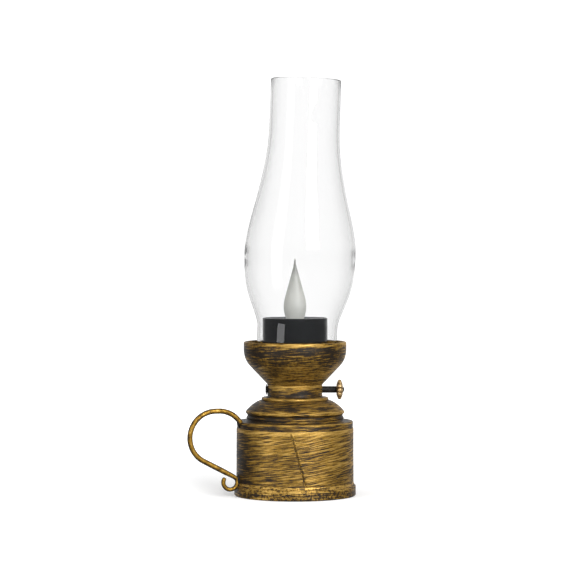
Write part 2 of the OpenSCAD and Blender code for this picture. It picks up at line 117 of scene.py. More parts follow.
def smooth_outline(path, step=0.6 * MM):
    """The closed outline with its round stretches filled in by a curve through its points.

    Its points lie step apart at most, and a turn over CORNER stays sharp.
    """
    count = len(path)
    sharp = [abs(turn_at(path, i)) > CORNER for i in range(count)]
    low = [min(p[k] for p in path) for k in (0, 1)]
    high = [max(p[k] for p in path) for k in (0, 1)]
    made = []
    for i in range(count):
        j = (i + 1) % count
        p0, p1, p2, p3 = (Vector(path[k % count]) for k in (i - 1, i, j, j + 1))
        span = (p2 - p1).length
        slope1 = Vector((0, 0)) if sharp[i] else (p2 - p0) * span / max((p2 - p0).length, TINY)
        slope2 = Vector((0, 0)) if sharp[j] else (p3 - p1) * span / max((p3 - p1).length, TINY)
        if sharp[i]:
            slope1 = 1.5 * (p2 - p1) - 0.5 * slope2
        if sharp[j]:
            slope2 = 1.5 * (p2 - p1) - 0.5 * slope1
        pieces = max(1, math.ceil(span / step))
        for k in range(pieces):
            t = k / pieces
            p = ((2 * t**3 - 3 * t**2 + 1) * p1 + (t**3 - 2 * t**2 + t) * slope1
                 + (3 * t**2 - 2 * t**3) * p2 + (t**3 - t**2) * slope2)
            made.append(tuple(min(max(p[n], low[n]), high[n]) for n in (0, 1)))
    return made


def wear_and_shading_along(path):
    """How proud each point of the outline stands: above 0 on an outward bend, below 0 in a hollow."""
    count = len(path)
    turns = [turn_at(path, i) for i in range(count)]
    area = sum(path[i][0] * path[(i + 1) % count][1] - path[(i + 1) % count][0] * path[i][1]
               for i in range(count))
    sign = 1 if area > 0 else -1
    spots = [Vector(p) for p in path]
    worn_and_shaded = []
    for p in spots:
        total = sum(t * math.exp(-((q - p).length / WEAR_AND_SHADING_REACH) ** 2) for t, q in zip(turns, spots))
        worn_and_shaded.append(max(-1.0, min(1.0, sign * total)))
    return worn_and_shaded


# ---- Mesh building ----

SHARP_FROM = math.radians(38)


def new_piece(name, mesh_maker, material, body, replaced=()):
    """Makes a mesh object from a bmesh that mesh_maker fills, and hangs it on its body."""
    mesh = bpy.data.meshes.new(name)
    bm = bmesh.new()
    mesh_maker(bm)
    bmesh.ops.recalc_face_normals(bm, faces=bm.faces)
    bm.to_mesh(mesh)
    bm.free()
    for face in mesh.polygons:
        face.use_smooth = True
    piece = bpy.data.objects.new(name, mesh)
    bpy.context.scene.collection.objects.link(piece)
    mesh.materials.append(material)
    mesh.set_sharp_from_angle(angle=SHARP_FROM)
    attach(piece, body)
    if replaced:
        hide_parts(*replaced)
    return piece


def lathe(path, around=224, shape=None, azimuths=None):
    """A mesh maker that turns the closed outline round +Z.

    shape(radius, height, azimuth) gives the radius and azimuth where the point goes instead.
    """
    angles = azimuths or [2 * math.pi * i / around for i in range(around)]
    worn_and_shaded = wear_and_shading_along(path)

    def fill(bm):
        wear_and_shading = bm.verts.layers.float.new("wear_and_shading")
        rings = []
        for (r, z), amount in zip(path, worn_and_shaded):
            if r < TINY:
                v = bm.verts.new((0, 0, z))
                v[wear_and_shading] = amount
                rings.append([v] * len(angles))
                continue
            ring = []
            for a in angles:
                r_here, a_here = shape(r, z, a) if shape else (r, a)
                v = bm.verts.new((r_here * math.cos(a_here), r_here * math.sin(a_here), z))
                v[wear_and_shading] = amount
                ring.append(v)
            rings.append(ring)
        for low, high in zip(rings, rings[1:] + rings[:1]):
            for i in range(len(angles)):
                j = (i + 1) % len(angles)
                corners = []
                for v in (low[i], low[j], high[j], high[i]):
                    if v not in corners:
                        corners.append(v)
                if len(corners) > 2:
                    bm.faces.new(corners)

    return fill


def dented(depth, scale, seed):
    """A shape for lathe() that presses shallow dents into a sheet-metal wall, never outwards."""
    def shape(r, z, a):
        spot = Vector((r * math.cos(a), r * math.sin(a), z)) * scale + Vector((seed, seed, seed))
        return r - depth * (0.5 + 0.5 * noise.noise(spot)), a
    return shape


# ---- Materials ----


class Graph:
    """A short way to write a node material."""

    def __init__(self, name):
        self.material = bpy.data.materials.new(name)
        self.material.use_nodes = True
        self.tree = self.material.node_tree
        self.shader = self.tree.nodes["Principled BSDF"]
        self.output = self.tree.nodes["Material Output"]

    def set(self, socket, value):
        if isinstance(value, bpy.types.NodeSocket):
            self.tree.links.new(value, socket)
        else:
            is_rgb = isinstance(value, tuple) and len(value) == 3 and socket.type == "RGBA"
            socket.default_value = (*value, 1) if is_rgb else value

    def node(self, kind, inputs=None, **settings):
        made = self.tree.nodes.new(kind)
        for key, value in settings.items():
            setattr(made, key, value)
        for key, value in (inputs or {}).items():
            self.set(made.inputs[key], value)
        return made

    def math(self, operation, a, b=0.0):
        return self.node("ShaderNodeMath", {0: a, 1: b}, operation=operation).outputs[0]

    def place(self):
        return self.node("ShaderNodeTexCoord").outputs["Object"]

    def axes(self, vector):
        parts = self.node("ShaderNodeSeparateXYZ", {0: vector})
        return parts.outputs[0], parts.outputs[1], parts.outputs[2]

    def join(self, x, y, z):
        return self.node("ShaderNodeCombineXYZ", {0: x, 1: y, 2: z}).outputs[0]

    def noise(self, vector, scale, detail=2.0, rough=0.5, w=None):
        inputs = {"Vector": vector, "Scale": scale, "Detail": detail, "Roughness": rough}
        made = self.node("ShaderNodeTexNoise", noise_dimensions="3D" if w is None else "4D")
        if w is not None:
            inputs["W"] = w
        for key, value in inputs.items():
            self.set(made.inputs[key], value)
        return made.outputs["Fac"]

    def ramp(self, factor, stops):
        made = self.node("ShaderNodeValToRGB", {0: factor})
        band = made.color_ramp.elements
        while len(band) < len(stops):
            band.new(0.5)
        for element, (at, colour) in zip(band, stops):
            element.position = at
            element.color = (*colour, 1)
        return made.outputs["Color"]

    def span(self, value, low, high, to_low=0.0, to_high=1.0):
        made = self.node("ShaderNodeMapRange", {"Value": value, "From Min": low, "From Max": high,
                                                "To Min": to_low, "To Max": to_high})
        made.clamp = True
        return made.outputs[0]

    def mix(self, factor, a, b):
        made = self.node("ShaderNodeMix", data_type="RGBA")
        self.set(made.inputs["Factor"], factor)
        self.set(made.inputs["A"], a)
        self.set(made.inputs["B"], b)
        return made.outputs["Result"]

    def bump(self, height, distance, strength):
        inputs = {"Height": height, "Distance": distance, "Strength": strength}
        return self.node("ShaderNodeBump", inputs).outputs[0]

    def surface(self, **values):
        for key, value in values.items():
            self.set(self.shader.inputs[key.replace("_", " ")], value)
        return self.material


BLACK_PAINT = (0.008, 0.006, 0.0045)
UMBER = (0.055, 0.031, 0.009)
OLD_GOLD = (0.275, 0.150, 0.017)
PALE_GOLD = (0.62, 0.385, 0.100)


def antique_gold(name, seed=0.0, tilt=0.0, cover=0.0, patch_scale=55.0, thin_gold_and_side_shade=0.25,
                 thinned=(-1.0, 0.0, 0.0), flaked=0.0):
    """Gold paint dry-brushed across over black: bristle lines, bare hollows and rubbed edges, with a
    painted highlight on the edges and painted shade in the hollows.

    tilt slopes the brush marks, cover adds or takes gold, patch_scale sets the size of bare places,
    thin_gold_and_side_shade takes gold away towards the handle: dark patches of paint there, and painted
    shade on that side. thinned is a height where there is less gold, the height where that ends, and
    how much less. flaked is how much is missing in small spots.
    """
    g = Graph(name)
    place = g.place()
    x, y, z = g.axes(place)
    radius = g.math("SQRT", g.math("ADD", g.math("MULTIPLY", x, x), g.math("MULTIPLY", y, y)))
    wobble = g.noise(place, 45.0, 1.0)
    level = g.math("ADD", z, g.math("MULTIPLY", wobble, 0.0022))

    def strokes(along, across, detail, shift, slope):
        height = g.math("SUBTRACT", level, g.math("MULTIPLY", x, slope))
        spot = g.join(g.math("MULTIPLY", x, along), g.math("MULTIPLY", y, along),
                      g.math("ADD", g.math("MULTIPLY", height, across), shift + seed))
        return g.noise(spot, 1.0, detail, 0.62, w=g.math("MULTIPLY", radius, across))

    def about(value, share):
        return g.math("MULTIPLY", g.math("SUBTRACT", value, 0.5), share)

    fine = strokes(along=120.0, across=3400.0, detail=2.0, shift=3.1, slope=tilt)
    coarse = strokes(along=95.0, across=2000.0, detail=3.0, shift=23.4, slope=0.8 * tilt)
    broad = strokes(along=38.0, across=380.0, detail=2.0, shift=11.7, slope=0.6 * tilt)
    patches = g.noise(g.join(x, y, g.math("MULTIPLY", z, 1.6)), patch_scale, 2.0, 0.5,
                      w=seed + 0.37)
    wear_and_shading = g.node("ShaderNodeAttribute", attribute_name="wear_and_shading").outputs["Fac"]
    bristles = g.math("ADD", g.math("MULTIPLY", fine, 0.45), g.math("MULTIPLY", coarse, 0.55))
    gold = g.math("ADD", about(bristles, 4.2), about(broad, 0.4))
    gold = g.math("ADD", gold, about(patches, 0.75))
    # Raised edges get more gold and hollows less: the dry-brush's rubbed edges and bare hollows, with a
    # painted highlight on the edges and painted shade in the hollows.
    gold = g.math("ADD", gold, g.math("MULTIPLY", g.math("MAXIMUM", wear_and_shading, -0.3), 0.36))
    # Less gold on the side towards the handle: dark paint patches there, and painted shade on that side.
    gold = g.math("SUBTRACT", gold, g.span(g.math("DIVIDE", x, radius), -1.0, -0.7, thin_gold_and_side_shade, 0.0))
    gold = g.math("SUBTRACT", gold, g.span(z, *thinned, 0.0))
    flakes = g.noise(place, 620.0, 3.0, 0.7)
    gold = g.math("SUBTRACT", gold, g.span(flakes, 0.44, 0.60, -0.4 * flaked, flaked))
    gold = g.math("ADD", gold, 0.5 + cover)
    colour = g.ramp(gold, [(0.26, BLACK_PAINT), (0.40, UMBER), (0.56, OLD_GOLD), (0.95, PALE_GOLD)])
    grain = g.noise(place, 2600.0, 2.0, 0.6)
    colour = g.mix(g.span(grain, 0.42, 0.75, 0.0, 0.45), colour, UMBER)
    shine = g.span(gold, 0.36, 0.60)
    height = g.math("ADD", bristles, g.math("MULTIPLY", grain, 0.3))
    return g.surface(Base_Color=colour, Metallic=g.math("MULTIPLY", shine, 0.6),
                     Roughness=g.span(bristles, 0.35, 0.65, 0.5, 0.36), Specular_IOR_Level=0.22,
                     Normal=g.bump(height, 0.0003, 0.9))


def rod_gold():
    """Gold rubbed onto the rod's broad sides, with black left along its edges, and painted shade
    underneath.
    """
    g = Graph("antique_gold_rod")
    place = g.place()
    wear_and_shading = g.node("ShaderNodeAttribute", attribute_name="wear_and_shading").outputs["Fac"]
    streaks = g.noise(place, 420.0, 3.0, 0.6)
    grain = g.noise(place, 2200.0, 2.0, 0.6)
    gold = g.math("ADD", g.math("MULTIPLY", wear_and_shading, 0.42), g.math("MULTIPLY", streaks, 0.75))
    gold = g.math("ADD", gold, g.math("MULTIPLY", grain, 0.3))
    colour = g.ramp(gold, [(0.44, BLACK_PAINT), (0.58, UMBER), (0.74, OLD_GOLD), (1.0, PALE_GOLD)])
    return g.surface(Base_Color=colour, Metallic=g.span(gold, 0.5, 0.76, 0.0, 0.6),
                     Roughness=g.span(streaks, 0.35, 0.65, 0.5, 0.36), Specular_IOR_Level=0.16,
                     Normal=g.bump(g.math("ADD", streaks, g.math("MULTIPLY", grain, 0.4)), 0.0002, 0.7))


def black_paint(name, rough=0.45):
    """Thin black paint over metal, with dust and small rubbed spots."""
    g = Graph(name)
    base = (0.007, 0.0065, 0.006)
    place = g.place()
    dust = g.noise(place, 900.0, 3.0, 0.6)
    rub = g.noise(place, 260.0, 2.0, 0.5)
    colour = g.ramp(rub, [(0.3, base), (0.62, tuple(2.2 * c for c in base)), (0.8, (0.05, 0.045, 0.04))])
    return g.surface(Base_Color=colour, Roughness=g.span(dust, 0.3, 0.75, rough - 0.08, rough + 0.16),
                     Specular_IOR_Level=0.15, Normal=g.bump(dust, 0.00006, 0.5))


def knob_metal():
    """Antiqued brass colour: pale on the lobes, dark in the flutes."""
    g = Graph("knob_brass")
    place = g.place()
    wear_and_shading = g.node("ShaderNodeAttribute", attribute_name="wear_and_shading").outputs["Fac"]
    grime = g.noise(place, 700.0, 3.0, 0.6)
    # Lighter lobes and raised edges, darker flutes: wear and grime, with a painted highlight on the
    # edges and painted shade in the hollows.
    level = g.math("ADD", g.math("MULTIPLY", wear_and_shading, 0.5), g.math("MULTIPLY", grime, 0.9))
    colour = g.ramp(level, [(0.34, (0.010, 0.007, 0.005)), (0.60, (0.060, 0.034, 0.012)),
                            (0.88, (0.28, 0.170, 0.06)), (1.0, (0.66, 0.46, 0.22))])
    return g.surface(Base_Color=colour, Metallic=0.7, Roughness=g.span(grime, 0.3, 0.7, 0.5, 0.32),
                     Normal=g.bump(grime, 0.00008, 0.6))


def plated(name, colour, rough=0.28):
    """Bright plated metal with fine rolling lines and fingerprints."""
    g = Graph(name)
    place = g.place()
    x, y, z = g.axes(place)
    lines = g.noise(g.join(g.math("MULTIPLY", x, 9.0), y, z), 400.0, 2.0)
    smudge = g.noise(place, 180.0, 2.0)
    return g.surface(Base_Color=g.mix(g.span(smudge, 0.35, 0.7, 0.0, 0.4), (*colour, 1),
                                      (*(0.75 * c for c in colour), 1)),
                     Metallic=0.95, Roughness=g.span(smudge, 0.3, 0.7, rough, rough + 0.14),
                     Normal=g.bump(lines, 0.00002, 0.4))


def moulded(name, colour, rough, grain_depth, grain_scale=1400.0, mark_scale=95.0, upright=1.0):
    """Moulded plastic with a fine grain and faint marks. upright below 1 draws both out along Z."""
    g = Graph(name)
    x, y, z = g.axes(g.place())
    place = g.join(x, y, g.math("MULTIPLY", z, upright))
    grain = g.noise(place, grain_scale, 2.0, 0.6)
    handled = g.noise(place, mark_scale, 2.0, 0.5)
    tone = g.mix(g.span(handled, 0.35, 0.7, 0.0, 0.5), (*colour, 1), (*(1.5 * c for c in colour), 1))
    return g.surface(Base_Color=tone, Roughness=g.span(handled, 0.3, 0.75, rough, rough * 1.6),
                     Normal=g.bump(grain, grain_depth, 0.5))


def milky_silicone():
    """Soft translucent flame: cloudy, darker towards the tip, and glowing faintly: painted light."""
    g = Graph("milky_silicone")
    place = g.place()
    _, _, z = g.axes(place)
    up = g.span(z, foot_of("flame_lens"), top_of("flame_lens"))
    cloud = g.noise(place, 140.0, 2.0, 0.5)
    mixed = g.math("ADD", up, g.math("MULTIPLY", g.math("SUBTRACT", cloud, 0.5), 0.2))
    colour = g.ramp(mixed, [(0.1, (0.200, 0.202, 0.193)), (0.45, (0.215, 0.217, 0.205)),
                            (0.75, (0.172, 0.175, 0.165)), (1.0, (0.090, 0.092, 0.086))])
    # The glow in its own colour is painted light standing in for light scattered inside the flame.
    return g.surface(Base_Color=colour, Roughness=g.span(cloud, 0.3, 0.7, 0.42, 0.55),
                     Subsurface_Weight=0.5, Subsurface_Radius=(0.004, 0.004, 0.0035),
                     Subsurface_Scale=1.0, Emission_Color=colour, Emission_Strength=0.95,
                     Normal=g.bump(cloud, 0.00005, 0.4))


def clear_glass():
    """Blown glass, a little grey where the eye looks along the wall."""
    g = Graph("clear_glass")
    place = g.place()
    x, y, z = g.axes(place)
    drawn = g.noise(g.join(x, y, g.math("MULTIPLY", z, 0.22)), 90.0, 1.0, 0.4)
    g.surface(Base_Color=(1, 1, 1, 1), Roughness=0.0, IOR=1.47, Transmission_Weight=1.0,
              Normal=g.bump(drawn, 0.0004, 0.25))
    volume = g.node("ShaderNodeVolumeAbsorption", {"Color": (0.35, 0.37, 0.37, 1), "Density": 17.0})
    g.tree.links.new(volume.outputs[0], g.output.inputs["Volume"])
    return g.material


def clear_epoxy():
    """The LED's amber epoxy, slightly cloudy."""
    g = Graph("led_epoxy")
    place = g.place()
    cloud = g.noise(place, 500.0, 2.0)
    return g.surface(Base_Color=g.ramp(cloud, [(0.3, (0.85, 0.66, 0.3)), (0.7, (0.95, 0.83, 0.5))]),
                     Roughness=g.span(cloud, 0.3, 0.7, 0.08, 0.16), Transmission_Weight=0.6, IOR=1.5)


# ---- Camera, light and floor ----

CAMERA_BACK = 1.35
CAMERA_UP = 0.152
VIEW_WIDTH = 0.3283
LOOK_AT = Vector((-0.004, 0, 0.1182))
LIGHT_AIM = Vector((0, 0, 0.1))
FLOOR_REACH = 6.0
FLOOR_PAINTED_LIGHT = 0.10, 0.75  # Painted light on the floor beside the lamp and away from it: weaker beside it, a painted shade round the lamp
PAINTED_LIGHT_FROM = 0.04, 0.40  # Distances from the lamp's axis where the floor glows so


def make_camera():
    data = bpy.data.cameras.new("camera")
    data.sensor_width = 36.0
    eye = Vector((LOOK_AT.x, -CAMERA_BACK, CAMERA_UP))
    data.lens = data.sensor_width / 2 / (VIEW_WIDTH / 2 / (LOOK_AT - eye).length)
    data.clip_start, data.clip_end = 0.05, 20.0
    camera = bpy.data.objects.new("camera", data)
    camera.location = eye
    camera.rotation_euler = (LOOK_AT - eye).to_track_quat("-Z", "Y").to_euler()
    bpy.context.scene.collection.objects.link(camera)
    bpy.context.scene.camera = camera


def soft_light(name, place, size, power, through_glass=False):
    data = bpy.data.lights.new(name, "AREA")
    data.shape = "RECTANGLE"
    data.size, data.size_y = size
    data.energy = power
    light = bpy.data.objects.new(name, data)
    light.location = place
    light.rotation_euler = (LIGHT_AIM - Vector(place)).to_track_quat("-Z", "Y").to_euler()
    light.visible_camera = False
    light.visible_transmission = through_glass
    bpy.context.scene.collection.objects.link(light)


def make_world():
    """White room: dimmer for matt faces, and for mirroring ones dim except behind the lamp."""
    world = bpy.data.worlds.new("room")
    bpy.context.scene.world = world
    world.use_nodes = True
    tree = world.node_tree
    tree.nodes.clear()
    place = tree.nodes.new("ShaderNodeTexCoord")
    parts = tree.nodes.new("ShaderNodeSeparateXYZ")
    rays = tree.nodes.new("ShaderNodeLightPath")
    tree.links.new(place.outputs["Generated"], parts.inputs[0])

    def room(axis, low, high, at_low, at_high):
        """Brightness from at_low to at_high as the direction's X, Y or Z goes from low to high."""
        light = tree.nodes.new("ShaderNodeBackground")
        light.inputs["Color"].default_value = (1, 1, 1, 1)
        ramp = tree.nodes.new("ShaderNodeMapRange")
        ramp.inputs["From Min"].default_value = low
        ramp.inputs["From Max"].default_value = high
        ramp.inputs["To Min"].default_value = at_low
        ramp.inputs["To Max"].default_value = at_high
        tree.links.new(parts.outputs[axis], ramp.inputs["Value"])
        tree.links.new(ramp.outputs[0], light.inputs["Strength"])
        return light.outputs[0]

    def choose(factor, otherwise, chosen):
        mix = tree.nodes.new("ShaderNodeMixShader")
        for socket, source in enumerate((factor, otherwise, chosen)):
            tree.links.new(source, mix.inputs[socket])
        return mix.outputs[0]

    def reached(depth):
        some = tree.nodes.new("ShaderNodeMath")
        some.operation = "MINIMUM"
        some.inputs[1].default_value = 1
        tree.links.new(rays.outputs[depth], some.inputs[0])
        return some.outputs[0]

    y, z = 1, 2
    plain = room(z, -1.0, 1.0, 1.15, 1.15)
    matt = room(z, -0.6, 0.8, 0.62, 0.42)
    mirrored = room(y, 0.55, 1.0, 0.13, 1.0)
    lit = choose(reached("Diffuse Depth"), plain, matt)
    lit = choose(reached("Glossy Depth"), lit, mirrored)
    output = tree.nodes.new("ShaderNodeOutputWorld")
    tree.links.new(lit, output.inputs["Surface"])


def make_floor():
    g = Graph("pale_floor")
    place = g.place()
    x, y, _ = g.axes(place)
    away = g.math("SQRT", g.math("ADD", g.math("MULTIPLY", x, x), g.math("MULTIPLY", y, y)))
    tone = g.noise(place, 6.0, 2.0)
    white = g.ramp(tone, [(0.3, (0.90, 0.90, 0.90)), (0.7, (0.93, 0.93, 0.93))])
    # The floor's glow is painted light that keeps it white, weaker near the lamp: a painted shade round
    # the lamp.
    floor_paint = g.surface(Base_Color=white, Roughness=0.9, Specular_IOR_Level=0.0,
                            Emission_Color=(1, 1, 1),
                            Emission_Strength=g.span(away, *PAINTED_LIGHT_FROM, *FLOOR_PAINTED_LIGHT))
    mesh = bpy.data.meshes.new("floor")
    corners = [(x * FLOOR_REACH, y * FLOOR_REACH, 0) for x, y in ((-1, -1), (1, -1), (1, 1), (-1, 1))]
    mesh.from_pydata(corners, [], [(0, 1, 2, 3)])
    floor = bpy.data.objects.new("floor", mesh)
    bpy.context.scene.collection.objects.link(floor)
    mesh.materials.append(floor_paint)
    floor.visible_diffuse = floor.visible_glossy = floor.visible_transmission = False


make_camera()
make_world()
make_floor()
soft_light("key", place=(0.5, -1.0, 0.5), size=(0.5, 0.5), power=16.0)
soft_light("fill", place=(-0.9, -0.8, 0.3), size=(0.5, 1.5), power=7.5)
soft_light("top", place=(0.0, 0.1, 1.3), size=(1.6, 1.2), power=5.0, through_glass=True)
bpy.context.scene.view_settings.view_transform = "Standard"

# ---- The lamp ----

FRONT = -math.pi / 2  # Azimuth of the lamp's front


def sheet_part(name, node, material, depth=0.0, seed=0.0):
    path = smooth_outline(turned_outline(node))
    shape = dented(depth, 55.0, seed) if depth else None
    return new_piece(name, lathe(path, shape=shape), material, "lamp", [node])


def seam_shape():
    """Shape of the drum's wall with its slanted seam: a groove and, beside it, a raised lip."""
    foot_z, top_z = top_of("foot_ring") + 0.2 * MM, DRUM_TOP - 1.0 * MM
    foot_x, top_x = 5.7 * MM, -2.4 * MM
    groove_half, groove_depth = 0.46 * MM, 0.5 * MM
    lip_at, lip_half, lip_height = 0.86 * MM, 0.34 * MM, 0.22 * MM
    fade, reach = 0.8 * MM, 3 * MM
    outer_face = DRUM_R - 0.1 * MM
    press = dented(0.12 * MM, 60.0, 4.0)

    def lean(z):
        return (foot_x + (top_x - foot_x) * (z - foot_z) / (top_z - foot_z)) / DRUM_R

    def shape(r, z, a):
        across = (a - FRONT) * DRUM_R
        azimuth = a + lean(z)
        r_here, _ = press(r, z, azimuth)
        ends = min(max((z - foot_z) / fade, 0), 1) * min(max((top_z - z) / fade, 0), 1)
        if r > outer_face and abs(across) < reach:
            r_here -= ends * groove_depth * math.exp(-((across / groove_half) ** 4))
            r_here += ends * lip_height * math.exp(-(((across - lip_at) / lip_half) ** 2))
        return r_here, azimuth
    return shape


def make_drum(material):
    """Drum with closely spaced points along its seam, where the groove has to be crisp and black."""
    path = smooth_outline(turned_outline("drum_shell"))
    fine_step, coarse_count = 0.08 * MM / DRUM_R, 200
    groove = 0.2 * MM, 0.75 * MM
    fine = [i * fine_step for i in range(-20, 26)]
    first, last = fine[0], fine[-1]
    rest = [last + (2 * math.pi + first - last) * i / coarse_count for i in range(1, coarse_count)]
    angles = [FRONT + a for a in fine + rest]

    def fill(bm):
        lathe(path, shape=seam_shape(), azimuths=angles)(bm)
        wear_and_shading = bm.verts.layers.float["wear_and_shading"]
        for v in bm.verts:
            depth = DRUM_R - math.hypot(v.co.x, v.co.y)
            if groove[0] < depth < groove[1] and v.co.z < DRUM_TOP - 1 * MM:
                v[wear_and_shading] = -2.0

    return new_piece("drum_wall", fill, material, "lamp", ["drum_shell"])


gold_base = antique_gold("antique_gold_base", seed=0.0, tilt=0.16, cover=0.02, patch_scale=42.0,
                         thin_gold_and_side_shade=0.34, flaked=0.05)
gold_foot = antique_gold("antique_gold_foot", seed=5.0, cover=-0.09, patch_scale=120.0, thin_gold_and_side_shade=0.2,
                         thinned=(0.0005, 0.006, 0.28), flaked=0.32)
gold_cover = antique_gold("antique_gold_cover", seed=9.0, tilt=0.03, cover=-0.15, patch_scale=70.0,
                          flaked=0.05)
gold_neck = antique_gold("antique_gold_neck", seed=13.0, tilt=0.03, cover=-0.12, patch_scale=90.0,
                         thin_gold_and_side_shade=0.3, flaked=0.05)
gold_cup = antique_gold("antique_gold_cup", seed=17.0, tilt=0.06, cover=0.05, patch_scale=60.0,
                        thinned=(0.082, 0.074, 0.30), flaked=0.15)

make_drum(gold_base)
sheet_part("foot_bead", "foot_ring", gold_foot, depth=0.25 * MM, seed=2.0)
sheet_part("cover_dome", "shoulder_cover", gold_cover, depth=0.08 * MM, seed=6.0)
sheet_part("neck_sleeve", "neck_collar", gold_neck)
sheet_part("cup_wall", "gallery_cup", gold_cup, depth=0.1 * MM, seed=8.0)
sheet_part("candle_rest", "candle_plate", gold_cup)


def cubic(p0, p1, p2, p3, steps):
    """Points after p0 up to p3 of the cubic curve that leaves p0 towards p1 and reaches p3 from p2."""
    made = []
    for k in range(1, steps + 1):
        t = k / steps
        share = ((1 - t) ** 3, 3 * t * (1 - t) ** 2, 3 * t * t * (1 - t), t**3)
        made.append(tuple(sum(f * p[n] for f, p in zip(share, (p0, p1, p2, p3))) for n in (0, 1)))
    return made


def glass_outline():
    """Closed outline of the chimney's two faces, upright, with its foot's height at 0."""
    foot_r, bulb_r, bulb_z, neck_r, height = 22.9, 31.8, 52.5, 20.1, 151.8
    wall, thick_at, thick_by, thick_half = 1.5, 50, 0.7, 4.5
    foot, low, wide = (foot_r, 11), (bulb_r - 1.2, 36), (bulb_r, bulb_z)
    waist, top = (neck_r + 1.8, bulb_z + 51), (neck_r, bulb_z + 76)
    line = [(foot_r, -3), foot]
    line += cubic(foot, (foot_r + 0.4, 17), (bulb_r - 3.2, 25), low, 22)
    line += cubic(low, (bulb_r - 0.5, 41), (bulb_r, bulb_z - 6), wide, 12)
    line += cubic(wide, (bulb_r, bulb_z + 13), (neck_r + 5.6, bulb_z + 28), waist, 30)
    line += cubic(waist, (neck_r + 0.8, bulb_z + 57), (neck_r, bulb_z + 64), top, 16)
    line += [(neck_r, height - 12), (neck_r, height - wall / 2)]
    inside = []
    for i, (r, z) in enumerate(line):
        (r0, z0), (r1, z1) = line[max(i - 1, 0)], line[min(i + 1, len(line) - 1)]
        long = math.hypot(r1 - r0, z1 - z0)
        here = wall + thick_by * math.exp(-(((z - thick_at) / thick_half) ** 2))
        inside.append((r - here * (z1 - z0) / long, z + here * (r1 - r0) / long))
    lip = wall / 2
    turns = [math.radians(t) for t in range(20, 180, 20)]
    mouth = [(neck_r - lip + lip * math.cos(t), height - lip + lip * math.sin(t)) for t in turns]
    return [(r * MM, z * MM) for r, z in [*line, *mouth, *reversed(inside)]]


def make_chimney(material):
    """Leaning glass with its foot cut flat on the plate. It lets direct light through unshaded."""
    lean, foot_x = math.radians(2), 1 * MM
    unevenness, stretch, turn = 0.10 * MM, 16, 0.9
    leaning = Matrix.Translation((foot_x, 0, PLATE_TOP)) @ Matrix.Rotation(lean, 4, "Y")

    def drawn(r, z, a):
        spot = Vector((math.cos(a) * turn, math.sin(a) * turn, z * stretch))
        return r - unevenness * (0.5 + 0.5 * noise.noise(spot)), a

    def fill(bm):
        lathe(glass_outline(), 256, drawn)(bm)
        bmesh.ops.transform(bm, matrix=leaning, verts=bm.verts)
        cut = bmesh.ops.bisect_plane(bm, geom=[*bm.verts, *bm.edges, *bm.faces], dist=TINY,
                                     plane_co=(0, 0, PLATE_TOP), plane_no=(0, 0, 1), clear_inner=True)
        edges = [e for e in cut["geom_cut"] if isinstance(e, bmesh.types.BMEdge)]
        bmesh.ops.bridge_loops(bm, edges=edges)

    glass = new_piece("chimney_glass", fill, material, "chimney", ["glass_chimney"])
    glass.visible_shadow = False


make_chimney(clear_glass())


def make_knob(material):
    low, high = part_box("knob_wheel")
    wheel_r, thick = (high.y - low.y) / 2, high.x - low.x
    shaft_r = (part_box("wick_shaft")[1].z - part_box("wick_shaft")[0].z) / 2
    lobes, flute = 12, 0.55 * MM
    hub_wall = rim_round = 0.9 * MM
    hub_r, rim_r = shaft_r + hub_wall, wheel_r - rim_round
    rim_half = 0.30 * thick
    slope = [k / 4 for k in range(5)]
    face = [(shaft_r, 0)]
    face += [(hub_r + (rim_r - hub_r) * k, (thick / 2 - rim_half) * k ** 1.5) for k in slope]
    turns = [math.radians(t) for t in range(-72, 73, 18)]
    rim = [(rim_r + rim_round * math.cos(t), thick / 2 + rim_half * math.sin(t)) for t in turns]
    outline = [*face, *rim, *((r, thick - z) for r, z in reversed(face))]
    path = smooth_outline(outline, step=0.25 * MM)

    def fluted(r, z, a):
        share = max(0.0, (r - hub_r) / (wheel_r - hub_r)) ** 2.2
        lobe = abs(math.cos(lobes * a / 2)) ** 0.7
        return r - flute * share * (1 - lobe), a

    def fill(bm):
        lathe(path, lobes * 20, fluted)(bm)
        wear_and_shading = bm.verts.layers.float["wear_and_shading"]
        for v in bm.verts:
            a = math.atan2(v.co.y, v.co.x)
            v[wear_and_shading] += 0.8 * (abs(math.cos(lobes * a / 2)) - 0.6)
        stand = Matrix.Translation((low.x, 0, SHAFT_Z)) @ Matrix.Rotation(math.pi / 2, 4, "Y")
        bmesh.ops.transform(bm, matrix=stand, verts=bm.verts)

    return new_piece("knob_disc", fill, material, "wick_knob", ["knob_wheel"])


make_knob(knob_metal())

HANDLE_TURN = math.radians(18)  # From the line opposite the knob


def on_handle(u, z):
    """A point of the handle's upright plane, u out from the lamp's axis, both in millimetres."""
    turn = math.pi + HANDLE_TURN
    return Vector((u * MM * math.cos(turn), u * MM * math.sin(turn), z * MM))


